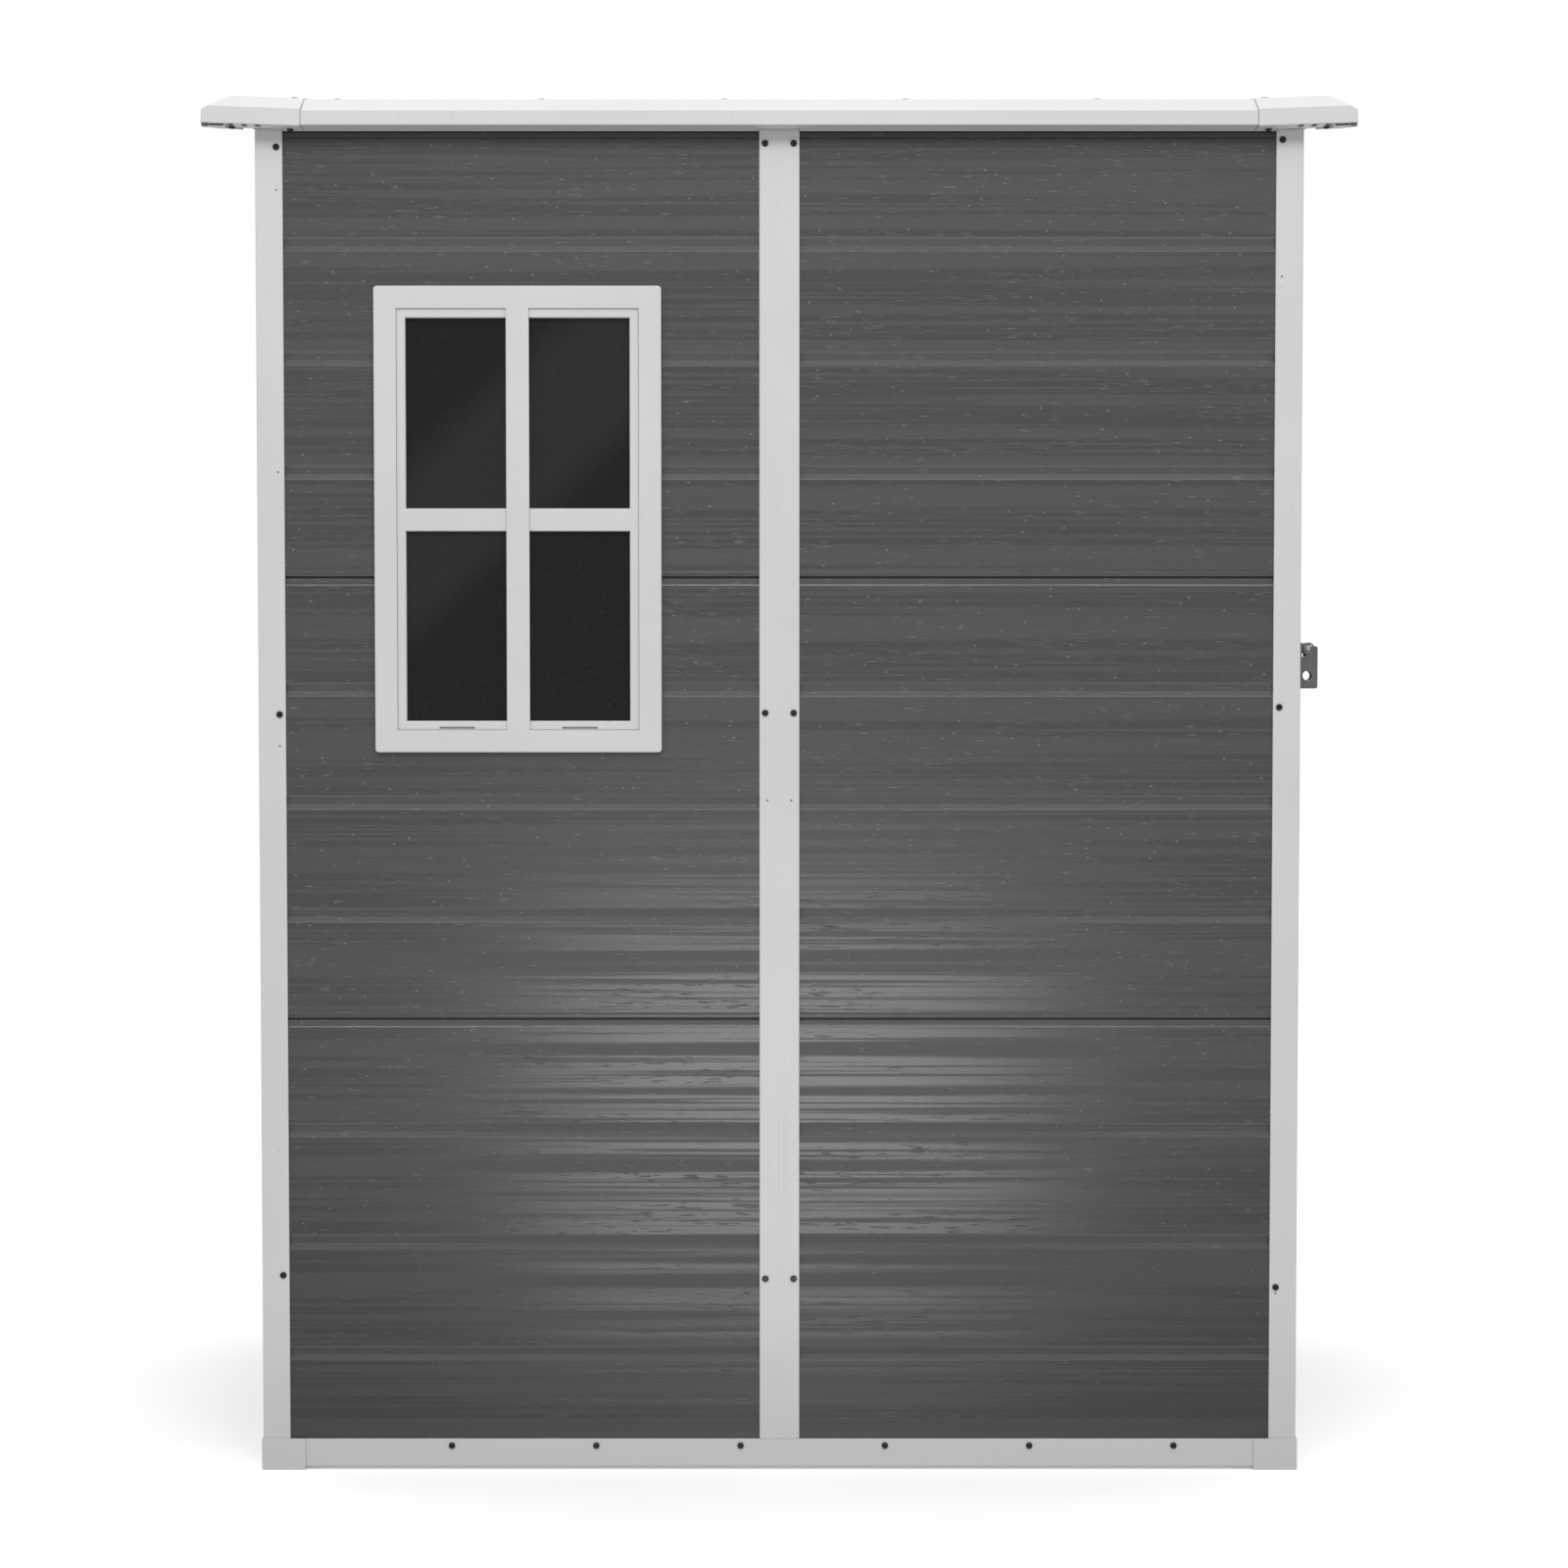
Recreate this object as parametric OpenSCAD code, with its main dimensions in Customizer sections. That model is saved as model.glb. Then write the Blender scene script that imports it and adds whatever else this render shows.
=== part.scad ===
// Plastic garden shed: a walk-in shed of snap-together wall panels between
// white posts, with a low gable roof, a fixed window and one hinged end door.
// +X is the door end, -Y the side with the window, +Z up.
// The origin is the centre of the footprint on the ground. Millimetres.

/* [Walls] */
// Outer length of the walls, along X
wall_l = 1450; // [1350:10:1650]
// Outer depth of the walls, along Y
wall_d = 870; // [820:10:1070]
// Height of one wall panel, of which three are stacked
panel_h = 616.5; // [600:0.5:640]
// Height of the lowest panel edge above the ground
panel_z = 20; // [18:1:24]
// Planks moulded into each wall panel
planks = 4; // [3:1:5]
// Depth of the groove between two planks
groove_depth = 3; // [2:0.5:4]
// Height of the groove between two planks
groove_h = 20.5; // [18:0.5:23]
// Gap between two stacked panels
seam_gap = 2.7; // [1:0.1:4]

/* [Posts and base] */
// Visible width of a corner post
post_w = 38; // [34:1:46]
// Visible width of a centre post
centre_w = 56; // [50:1:64]
// Height of the top of the base rail
rail_top = 43.3; // [40:0.1:48]
// Height of a base corner cap
cap_h = 44; // [42:0.5:46]
// Length of each leg of a base corner cap
cap_leg = 61.5; // [54:0.5:70]

/* [Roof] */
// Slope of the roof in degrees
pitch = 9; // [7:0.5:11]
// Thickness of a roof panel
roof_t = 20; // [16:1:24]
// Distance from the end wall to the outer face of the roof trim
end_overhang = 65.5; // [55:0.5:75]
// Distance from the side wall to the outer face of the eave trim
trim_d = 32; // [28:1:36]
// Length of each leg of a roof corner cap
roof_cap_leg = 134; // [110:1:150]
// Upward tilt of the roof corner caps in degrees
cap_tilt = 2; // [0:0.5:2.5]

/* [Window] */
// Distance from the shed's middle to the middle of the window
window_x = -362.8; // [-380:0.1:-345]
// Height of the middle of the window
window_z = 1331; // [1300:1:1360]
// Width of one pane
pane_w = 139.5; // [120:0.5:145]
// Height of one pane
pane_h = 263.2; // [230:0.2:270]
// Width of the bars between panes
bar_w = 31.6; // [24:0.1:36]
// Width of the window's border
border_w = 43.9; // [40:0.1:48]

/* [Door] */
// Height of the top of the door opening
door_top = 1834; // [1780:1:1840]
// Clearance around the door leaf
door_gap = 3.2; // [2.5:0.1:4]
// Width of the door's stiles and rails
stile_w = 60; // [54:1:70]
// Height of the middle of the bolt's rod
bolt_z = 1153; // [1000:1:1300]
// Travel of the bolt
bolt_travel = 20; // [16:1:20]

/* [Hidden] */
$fn = 40;

// Shared section: every post and rail is one wall thick and holds a panel in a channel.
skin = 3;                           // flange thickness
fit = 0.2;                          // play between a panel and its channel
panel_face = skin + fit;            // panel face, measured inward from the wall face
panel_back = 22.6;                  // panel back, measured inward from the wall face
lip = panel_back + fit;             // start of the inner flange
core = lip + skin;                  // overall thickness of the wall frame
panel_inset = core + 0.7;           // panel end, measured from the wall's outer corner
centre_core = 20;                   // box in the middle of a centre post
wall_skin = 2;                      // skin of the twin-wall panels
plank_share = 1.022;                // height of the upper planks against an even share of the panel
tongue_h = 8;
tongue_u = [9.4, 16];
rail_bottom = 5;
rail_web = 3;
rail_hang = 2.5;                    // visible edge of a top rail below the post tops
tube_t = 2.5;                       // wall of the box sections
post_top = panel_z + 3 * panel_h;
post_foot = 3.2;
clear = 0.3;                        // gap between neighbouring pieces

half_l = wall_l / 2;
half_d = wall_d / 2;
bay_from = centre_core / 2 + 0.7;
bay_to = half_l - panel_inset;
post_round = 2;

// Roof planes: the slab's top passes this height above the wall face.
slab_z = post_top + 37.8;
slab_drop = roof_t / cos(pitch);
slab_half = half_l + end_overhang - trim_d - 3;
roof_half = half_l + end_overhang;
trim_drop = 37.8;                   // underside of the eave trim below the slab's top
barge_drop = 30;                    // underside of the barge trims below the slab's top
chamfer_drop = 18;                  // top of the trim's upright face below the slab's top
nose_edge = 1;                      // bevel along the trim's lower edge
trim_rise = 2.7;
flange_l = 40;
trim_skin = 2.2;
cap_grow = 1.5;
rib_w = 12;
rib_h = 3;
ribs_per_panel = 4;
cap_screw_xs = [37, 117];           // from the trim's end
cap_slot_xs = [-0.2, 34, 52.5, 71];
cap_top_screw_x = 118;
eave_screw_xs = [-613, -330, -76, 175, 441];
under_screw_y = 7;                  // from the wall face to the screws under the caps
top_screw_y = 18;                   // up the slope from the wall face to the screws on top
cap_hole_r = 3;
head_seat = 0.15;                   // gap under a screw head on a sloped flange

// Window.
window_w = 2 * border_w + 2 * pane_w + bar_w;
window_h = 2 * border_w + 2 * pane_h + bar_w;
flange_w = 31.2;                    // outer flange of the window's border
window_bevel = 1.2;
window_proud = 5;
sash_proud = 3;
hole_margin = 14;                   // wall opening inside the window's outline
pane_t = 3;
pane_lap = 3.5;
pane_u = 4;
drain_w = 49;
drain_h = 2.7;

// Door, measured along Y and Z on the end wall.
door_half = half_d - core - door_gap;
door_z = rail_top + 3.7;
door_lid = door_top - door_gap;
door_t = 22;
door_panel_back = 19;
door_channel = 13;
door_panel_h = (door_lid - door_z - 2 * (stile_w - door_channel) - tongue_h - 1.4) / 3;

// Hinges: axis just outside the door's hinge edge.
hinge_y = half_d - core - door_gap / 2;
hinge_out = 6;                      // pin's axis outside the wall face
hinge_x = half_l + hinge_out;
hinge_zs = [300, 940, 1580];
hinge_h = 76;
leaf_t = 2;
leaf_gap = 3.6;
knuckle_r = 5;
pin_r = 2.5;
running = 0.06;

// Bolt.
rod_r = 4;
rod_x = half_l + 13;
rod_l = 98;
rod_tip_y = -half_d + 14.4;
head_r = 8.2;                       // round top of the padlock tabs
tab_out = 12.6;                     // rod axis to the outer edge of the tabs
tab_shoulder = 12;                  // rod axis down to the tabs' inner shoulder
tab_t = 2;
keeper_drop = 56;                   // rod axis to the bottom of the keeper's tab
flag_drop = 55.5;                   // rod axis to the bottom of the bolt's tab
eye_drop = 38;                      // rod axis to the padlock eye
eye_in = 1.5;                       // padlock eye from the rod axis towards the shed
eye_r = 6.8;
keeper_window = 9.6;
keeper_y = -half_d + 11;
flag_y = keeper_y + tab_t + bolt_travel + 0.6;
guide_l = 66;
guide_low = 44;                     // rod axis to the guide plate's lower edge
guide_high = 8;
strap_w = 12;
strap_t = 2;

// Fasteners.
screw_head_r = 4.5;
screw_head_h = 2.6;
top_head_h = 1.8;                   // lower heads of the screws on top of the roof
screw_r = 1.9;
screw_hole_r = 2;
screw_l = core + 2;
small_l = 8;
small_head_r = 3.4;
small_head_h = 1.8;
centre_screw_zs = [270, 1063, 1850];
rear_screw_zs = [275, 1061, 1845];
door_screw_zs = [258, 1071, 1855];
corner_screw = 29.5;
centre_screw = 19.8;
rail_screw_z = 34;
rail_screw_xs = [for (k = [0 : 5]) -460 + 202.7 * k];
rear_screw_xs = [-300, 0, 300];
pilot_r = 1.2;
rear_pilot_zs = [1017, 1397, 1786];
door_pilot_zs = [249, 1667];
centre_pilot_z = 941;

white = "whitesmoke";
grey = [0.32, 0.32, 0.33];
steel = [0.62, 0.61, 0.6];
black = [0.06, 0.06, 0.06];

// ---------- placing ----------

// Extrudes an outline of [inward from the side wall's face, height] along X.
module along_side(from, to) {
    translate([from, -half_d, 0]) rotate([90, 0, 90]) linear_extrude(to - from) children();
}

// Turns a piece made for the side wall onto the door end or the rear end.
module on_door_end() {
    translate([half_l - half_d, 0, 0]) rotate([0, 0, 90]) children();
}

module on_rear_end() {
    translate([half_d - half_l, 0, 0]) rotate([0, 0, -90]) children();
}

// Puts a piece made for the window side's door corner at another corner.
module at_corner(rear = false, plain = false) {
    if (rear && plain) rotate([0, 0, 180]) children();
    else if (rear) mirror([1, 0, 0]) children();
    else if (plain) mirror([0, 1, 0]) children();
    else children();
}

module plain_side() {
    mirror([0, 1, 0]) children();
}

// ---------- fasteners ----------

// Pan-head screw with its head at z = 0 and its shank down -Z.
module pan_screw(head_r, head_h, shank_l) {
    rim_h = head_h * 0.55;
    crown_r = head_r * 0.72;
    recess_l = head_r * 0.9;
    recess_w = head_r * 0.22;
    difference() {
        union() {
            cylinder(r = head_r, h = rim_h);
            translate([0, 0, rim_h]) cylinder(r1 = head_r, r2 = crown_r, h = head_h - rim_h);
            translate([0, 0, -shank_l]) cylinder(r = screw_r, h = shank_l + 0.1);
        }
        for (turn = [0, 90])
            rotate([0, 0, turn]) translate([-recess_l / 2, -recess_w / 2, head_h / 2])
                cube([recess_l, recess_w, head_h]);
    }
}

// Points [x, z] of the wall screws on one long side.
function side_screws() = concat(
    [for (z = rear_screw_zs) [corner_screw - half_l, z]],
    [for (z = centre_screw_zs, side = [-1, 1]) [side * centre_screw, z]],
    [for (z = door_screw_zs) [half_l - corner_screw, z]],
    [for (x = rail_screw_xs) [x, rail_screw_z]]);

function rear_screws() = concat(
    [for (z = rear_screw_zs, x = [-half_d + corner_screw, half_d - corner_screw]) [x, z]],
    [for (x = rear_screw_xs) [x, rail_screw_z]]);

// Shank holes through the side wall at the given points.
module shank_holes(points) {
    for (p = points)
        translate([p[0], -half_d - 1, p[1]]) rotate([-90, 0, 0]) cylinder(r = screw_hole_r, h = screw_l + 4);
}

module wall_screws(points) {
    for (p = points)
        translate([p[0], -half_d, p[1]]) rotate([90, 0, 0]) pan_screw(screw_head_r, screw_head_h, screw_l);
}

// ---------- wall panels ----------

// Heights of the groove centres of one panel. The lowest plank is a little shorter than the rest.
function groove_zs(z0, z1, n) = [for (k = [n - 1 : -1 : 1]) z1 - k * plank_share * (z1 - z0) / n];

// Outer edge of the panel across one groove, going up: two ledges in, a flat, and one slope out.
function groove_edge(z) =
    let (low = z - groove_h / 2, high = z + groove_h / 2, half = groove_depth / 2,
         ledge = 3.6, tread = 0.6, brow = 3.4)
    [[panel_face, low], [panel_face + half, low + ledge], [panel_face + half, low + ledge + tread],
     [panel_face + groove_depth, low + 2 * ledge + tread],
     [panel_face + groove_depth, high - brow], [panel_face, high]];

// Twin-wall panel outline: plank grooves outside, a tongue on top, a groove below.
module panel_outline(z0, z1, n, back) {
    top = z1 - seam_gap;
    rebate = panel_face + 1;        // the panel's top and bottom edges are set back to here
    low_line = 6;                   // height of the set-back edge at the bottom
    high_line = 9.5;                // and at the top
    ledge = 1.2;                    // half the height of the slope between edge and face
    corner = 1.5;
    outer = concat(
        [[rebate + corner, z0], [rebate, z0 + corner],
         [rebate, z0 + low_line - ledge], [panel_face, z0 + low_line + ledge]],
        [for (z = groove_zs(z0, z1, n)) each groove_edge(z)],
        [[panel_face, top - high_line - ledge], [rebate, top - high_line + ledge],
         [rebate, top - corner], [rebate + corner, top],
         [tongue_u[0], top], [tongue_u[0], top + tongue_h],
         [tongue_u[1], top + tongue_h], [tongue_u[1], top], [back, top], [back, z0],
         [tongue_u[1] + fit, z0], [tongue_u[1] + fit, z0 + tongue_h - 1],
         [tongue_u[0] - fit, z0 + tongue_h - 1], [tongue_u[0] - fit, z0]]);
    cell_back = back - wall_skin;
    deep = panel_face + groove_depth + wall_skin;
    edges = concat(
        [z0 + tongue_h + 1 - groove_h / 2], groove_zs(z0, z1, n), [top - high_line + groove_h / 2]);
    difference() {
        polygon(outer);
        for (k = [0 : n - 1]) {
            low = edges[k] + groove_h / 2 + wall_skin;
            high = edges[k + 1] - groove_h / 2 - wall_skin;
            translate([panel_face + wall_skin, low]) square([cell_back - panel_face - wall_skin, high - low]);
        }
        for (z = groove_zs(z0, z1, n))
            translate([deep, z - groove_h / 2]) square([cell_back - deep, groove_h]);
    }
}

// One wall panel of the side wall: course 0, 1 or 2, between two distances along the wall.
module wall_panel(course, from, to) {
    z0 = panel_z + course * panel_h;
    color(grey) along_side(from, to) panel_outline(z0, z0 + panel_h, planks, panel_back);
}

module window_bay_panel(course) {
    color(grey) difference() {
        wall_panel(course, -bay_to, -bay_from);
        shank_holes([for (p = side_screws()) if (p[0] < 0) p]);
        if (course > 0)
            window_slab(-1, core + 1)
                square([window_w - 2 * hole_margin, window_h - 2 * hole_margin], center = true);
    }
}

module door_bay_panel(course) {
    color(grey) difference() {
        wall_panel(course, bay_from, bay_to);
        shank_holes([for (p = side_screws()) if (p[0] > 0) p]);
    }
}

module plain_side_panels() {
    for (course = [0 : 2])
        plain_side() {
            door_bay_panel(course);
            color(grey) difference() {
                wall_panel(course, -bay_to, -bay_from);
                shank_holes([for (p = side_screws()) if (p[0] < 0) p]);
            }
        }
}

module rear_end_panels() {
    for (course = [0 : 2])
        on_rear_end() color(grey) difference() {
            wall_panel(course, -half_d + panel_inset, half_d - panel_inset);
            shank_holes(rear_screws());
        }
}

// Low triangle of wall above the end wall, under the roof.
module gable_panel() {
    reach = half_d - core - clear;
    low = post_top + 16.1;
    side_top = roof_z(reach) - slab_drop - 0.5;
    peak = roof_z(0) - slab_drop - 0.5;
    color(grey) on_door_end() difference() {
        translate([0, -half_d + panel_back, 0]) rotate([90, 0, 0])
            linear_extrude(panel_back - panel_face)
                polygon([[-reach, low], [reach, low], [reach, side_top], [0, peak], [-reach, side_top]]);
        translate([-reach - 1, -half_d + panel_face + wall_skin, low + wall_skin + 2])
            cube([2 * reach + 2, panel_back - panel_face - 2 * wall_skin, wall_skin]);
    }
}

// ---------- posts ----------

// What is cut away to round a corner at the origin of a shape that lies in +x, +y.
module corner_cut(r) {
    difference() {
        translate([-1, -1]) square(r + 1);
        translate([r, r]) circle(r);
    }
}

// Section of a corner post, from its outer corner inward along both walls.
// door_side leaves off the outer flange towards the door, so that the leaf can swing out.
module corner_section(door_side) {
    difference() {
        union() {
            square(core);
            translate([core, 0]) square([post_w - core, skin]);
            translate([core, lip]) square([post_w - core, skin]);
            translate([lip, core]) square([skin, post_w - core]);
            if (!door_side) translate([0, core]) square([skin, post_w - core]);
        }
        translate([tube_t, tube_t]) square(core - 2 * tube_t);
        corner_cut(post_round);
        translate([post_w, 0]) mirror([1, 0]) corner_cut(post_round);
        if (!door_side) translate([0, post_w]) mirror([0, 1]) corner_cut(post_round);
    }
}

// Corner post of the window side's rear corner, local x along the side wall.
module corner_post(door_side) {
    difference() {
        translate([0, 0, post_foot]) linear_extrude(post_top - post_foot) corner_section(door_side);
        // the flanges stand on the base rails
        translate([core + 0.01, -1, 0]) cube([post_w, core + 2, rail_top]);
        translate([-1, core + 0.01, 0]) cube([core + 2, post_w, rail_top]);
        for (z = door_side ? door_screw_zs : rear_screw_zs) {
            translate([corner_screw, -1, z]) rotate([-90, 0, 0]) cylinder(r = screw_hole_r, h = core + 2);
            if (!door_side)
                translate([-1, corner_screw, z]) rotate([0, 90, 0]) cylinder(r = screw_hole_r, h = core + 2);
        }
        for (z = door_side ? door_pilot_zs : rear_pilot_zs)
            translate([corner_screw, -1, z]) rotate([-90, 0, 0]) cylinder(r = pilot_r, h = skin + 1);
    }
}

module corner_post_at(rear, plain) {
    color(white) difference() {
        at_corner(rear, plain) translate([half_l, -half_d, 0]) mirror([1, 0, 0]) corner_post(!rear);
        hardware_holes();
    }
}

module centre_post() {
    foot = rail_top + clear;
    pilot_in = 3;                   // pilot holes, inward from the screws
    color(white) difference() {
        translate([0, -half_d, foot]) linear_extrude(post_top - foot) difference() {
            union() {
                translate([-centre_w / 2, 0]) square([centre_w, skin]);
                translate([-centre_w / 2, lip]) square([centre_w, skin]);
                translate([-centre_core / 2, 0]) square([centre_core, core]);
            }
            translate([-centre_core / 2 + tube_t, tube_t])
                square([centre_core - 2 * tube_t, core - 2 * tube_t]);
            translate([-centre_w / 2, 0]) corner_cut(post_round);
            translate([centre_w / 2, 0]) mirror([1, 0]) corner_cut(post_round);
        }
        shank_holes([for (z = centre_screw_zs, x = [-centre_screw, centre_screw]) [x, z]]);
        for (side = [-1, 1])
            translate([side * (centre_screw - pilot_in), -half_d - 1, centre_pilot_z]) rotate([-90, 0, 0])
                cylinder(r = pilot_r, h = skin + 1);
    }
}

// ---------- base ----------

// Channel that holds the lowest panel, inward from the wall face.
module base_rail_section() {
    translate([0, rail_bottom]) square([skin, rail_top - rail_bottom]);
    translate([lip, rail_bottom]) square([skin, rail_top - rail_bottom]);
    translate([0, panel_z - fit - rail_web]) square([core, rail_web]);
}

module side_base_rail() {
    reach = half_l - core - clear;
    color(white) difference() {
        along_side(-reach, reach) base_rail_section();
        shank_holes([for (x = rail_screw_xs) [x, rail_screw_z]]);
    }
}

module rear_base_rail() {
    reach = half_d - core - clear;
    color(white) on_rear_end() difference() {
        along_side(-reach, reach) base_rail_section();
        shank_holes([for (x = rear_screw_xs) [x, rail_screw_z]]);
    }
}

// Threshold under the door, with a low stop that the door closes against.
module door_sill() {
    reach = half_d - core - clear;
    stop_reach = half_d - post_w - clear;
    stop_h = 12;
    color(white) on_door_end() {
        along_side(-reach, reach) union() {
            base_rail_section();
            translate([0, rail_top - skin]) square([core, skin]);
        }
        along_side(-stop_reach, stop_reach) translate([lip, rail_top - skin]) square([skin, skin + stop_h]);
    }
}

// Corner cap that holds a post's foot and the ends of two rails.
module base_cap() {
    proud = 2;
    floor_t = 3;
    inner = core + clear;
    outer = core + clear + 2.4;
    leg = cap_leg - proud;
    color(white) translate([half_l, -half_d, 0]) mirror([1, 0, 0]) difference() {
        translate([-proud, -proud, 0]) linear_extrude(cap_h) {
            difference() {
                union() {
                    square([cap_leg, proud + outer]);
                    square([proud + outer, cap_leg]);
                }
                corner_cut(post_round);
            }
        }
        translate([0, 0, floor_t]) linear_extrude(cap_h) {
            translate([-clear, -clear]) square([leg + 1, inner + clear]);
            translate([-clear, -clear]) square([inner + clear, leg + 1]);
        }
        // the open mouths for the rails
        translate([leg - 1, -clear, rail_bottom - 1]) cube([3, inner + clear, cap_h]);
        translate([-clear, leg - 1, rail_bottom - 1]) cube([inner + clear, 3, cap_h]);
    }
}

// Half of the floor: a smooth top skin on a grid of ribs.
module floor_panel() {
    edge = core + clear + 2.4 + 0.5;
    size_x = half_l - edge - 0.5;
    size_y = wall_d - 2 * edge;
    floor_t = 22;
    top_skin = 3;
    rib = 2.4;
    cells_x = 7;
    cells_y = 8;
    step_x = (size_x - rib) / cells_x;
    step_y = (size_y - rib) / cells_y;
    color(grey) translate([0.5, -size_y / 2, 0]) difference() {
        cube([size_x, size_y, floor_t]);
        for (i = [0 : cells_x - 1], j = [0 : cells_y - 1])
            translate([rib + i * step_x, rib + j * step_y, -1])
                cube([step_x - rib, step_y - rib, floor_t - top_skin + 1]);
    }
}

module floor_panels() {
    floor_panel();
    mirror([1, 0, 0]) floor_panel();
}

// ---------- rails under the roof ----------

function roof_z(y) = slab_z + (half_d - abs(y)) * tan(pitch);

// Rail over the side wall: a channel for the panel tongue with a sloped top.
module top_rail_section() {
    under = slab_z - slab_drop - 0.3;
    low = post_top - rail_hang;
    web = post_top + tongue_h - seam_gap + 0.5;
    polygon([
        [0, low], [skin, low], [skin, web], [lip, web], [lip, low - 7], [core, low - 7],
        [core, under + core * tan(pitch)], [0, under]]);
}

module side_top_rail() {
    color(white) difference() {
        along_side(-half_l, half_l) top_rail_section();
        // the hanging edges stop at the posts
        for (post = [[-half_l, post_w], [0, centre_w / 2], [half_l, post_w]]) {
            reach = post[1] + clear;
            translate([post[0] - reach, -half_d - 1, 0]) cube([2 * reach, core + 2, post_top + clear]);
        }
    }
}

// Rail across an end wall, holding the gable panel above it.
module gable_rail() {
    reach = half_d - core - clear;
    stop_reach = half_d - post_w - clear;
    low = post_top - rail_hang;
    high = post_top + 20;
    web = post_top + tongue_h - seam_gap + 0.5;
    color(white) on_door_end() difference() {
        along_side(-reach, reach) union() {
            translate([0, low]) square([skin, high - low]);
            translate([lip, low - 7]) square([skin, high - low + 7]);
            translate([0, web]) square([core, post_top + 16 - web]);
        }
        for (x = [-reach - 1, stop_reach])
            translate([x, -half_d - 1, 0]) cube([reach - stop_reach + 1, core + 2, post_top + clear]);
    }
}

// Box beam over the door, with a lip that the door closes against.
module door_header() {
    reach = half_d - core - clear;
    stop_reach = half_d - post_w - clear;
    high = post_top - rail_hang - clear;
    stop_h = 12;
    stop_top = post_top - 10;
    deep = lip - clear;
    color(white) on_door_end() {
        along_side(-reach, reach) difference() {
            translate([0, door_top]) square([deep, high - door_top]);
            translate([tube_t, door_top + tube_t]) square([deep - 2 * tube_t, high - door_top - 2 * tube_t]);
        }
        along_side(-stop_reach, stop_reach)
            translate([deep, door_top - stop_h]) square([skin, stop_top - door_top + stop_h]);
    }
}

// ---------- roof ----------

// The frame of the window-side roof plane: y runs up the slope, z is normal to it.
module on_slope() {
    translate([0, -half_d, slab_z]) rotate([pitch, 0, 0]) children();
}

// One twin-wall roof panel, with raised ribs that run down it.
module roof_panel(from, length) {
    ridge_y = -1.5;
    eave_y = -half_d;
    cells = 8;
    step = (ridge_y - eave_y) / cells;
    rib_from = flange_l + 4;
    rib_to = half_d / cos(pitch) - 74;
    translate([from, 0, 0]) rotate([90, 0, 90]) linear_extrude(length) difference() {
        polygon([
            [eave_y, roof_z(eave_y)], [ridge_y, roof_z(ridge_y)],
            [ridge_y, roof_z(ridge_y) - slab_drop], [eave_y, roof_z(eave_y) - slab_drop]]);
        for (k = [0 : cells - 1]) {
            y0 = eave_y + k * step + wall_skin;
            y1 = eave_y + (k + 1) * step - wall_skin;
            polygon([
                [y0, roof_z(y0) - wall_skin], [y1, roof_z(y1) - wall_skin],
                [y1, roof_z(y1) - slab_drop + wall_skin], [y0, roof_z(y0) - slab_drop + wall_skin]]);
        }
    }
    on_slope() for (k = [0 : ribs_per_panel - 1])
        translate([from + length * (k + 0.5) / ribs_per_panel - rib_w / 2, rib_from, -0.5])
            cube([rib_w, rib_to - rib_from, rib_h + 0.5]);
}

// The two panels of one slope, drilled for the screws along the eave.
module roof_panels() {
    seam = 1;
    for (from = [-slab_half, seam / 2])
        color(grey) difference() {
            roof_panel(from, slab_half - seam / 2);
            eave_screw_holes(screw_hole_r);
            cap_top_screw_holes(cap_hole_r);
        }
}

module eave_screw_holes(r) {
    for (x = eave_screw_xs)
        on_slope() translate([x, top_screw_y, -small_l - 2]) cylinder(r = r, h = 2 * small_l);
}

// Holes at both ends of the eave, wide enough for screws that tilt with the caps.
module cap_top_screw_holes(r) {
    for (side = [-1, 1])
        on_slope() translate([side * (roof_half - cap_top_screw_x), top_screw_y, -small_l - 2])
            cylinder(r = r, h = 2 * small_l);
}

// Outline of the roof trim: a nose with an upright face and a chamfer, and a flange that laps
// onto the roof. x is outward, y up from the slab's top.
module trim_outline(grow, drop, face_top, lean) {
    nose = trim_d + grow;
    low = -drop - grow;
    back = 0.4;
    polygon([
        [back, low], [nose - nose_edge, low], [nose, low + nose_edge], [nose, face_top],
        [1, trim_rise + grow],
        [-flange_l, trim_rise + grow + flange_l * tan(lean)],
        [-flange_l, 0.5 + flange_l * tan(lean)], [back, 0.5]]);
}

module trim_section(grow, drop, face_top, lean) {
    nose = trim_d + grow - trim_skin;
    low = -drop - grow + trim_skin;
    back = 0.4 + trim_skin;
    difference() {
        trim_outline(grow, drop, face_top, lean);
        polygon([[back, low], [nose, low], [nose, face_top - 1], [back, -3 + grow]]);
    }
}

// All that lies inside the outer faces of a run of trim.
module trim_envelope(grow, face_top, lean) {
    far = 300;
    nose = trim_d + grow;
    low = -trim_drop - grow;
    under = 6;                      // the bevel goes on this far below the underside
    polygon([
        [-far, -far], [nose - under - nose_edge, low - under], [nose, low + nose_edge],
        [nose, face_top], [1, trim_rise + grow], [-far, trim_rise + grow + far * tan(lean)]]);
}

// Outline of [outward from the side wall's face, up from the slab's top] run along X.
module eave_run(from, to) {
    translate([from, -half_d, slab_z]) rotate([90, 0, 90])
        linear_extrude(to - from) mirror([1, 0]) children();
}

// Outline of [outward from the roof panel's end, up from the slab] run up the slope.
module barge_run(from, to) {
    on_slope() translate([roof_half - trim_d, to, 0]) rotate([90, 0, 0])
        linear_extrude(to - from) children();
}

// Ends against the tilted faces of the two corner caps.
module eave_trim() {
    reach = roof_half - roof_cap_leg;
    beyond = 200;
    color(white) difference() {
        eave_run(-reach - trim_skin, reach + trim_skin) trim_section(0, trim_drop, -chamfer_drop, pitch);
        for (rear = [false, true])
            at_corner(rear, false) cap_tilted()
                translate([reach - clear, -half_d - beyond / 2, slab_z - beyond / 2]) cube(beyond);
        eave_screw_holes(screw_hole_r);
    }
}

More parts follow.
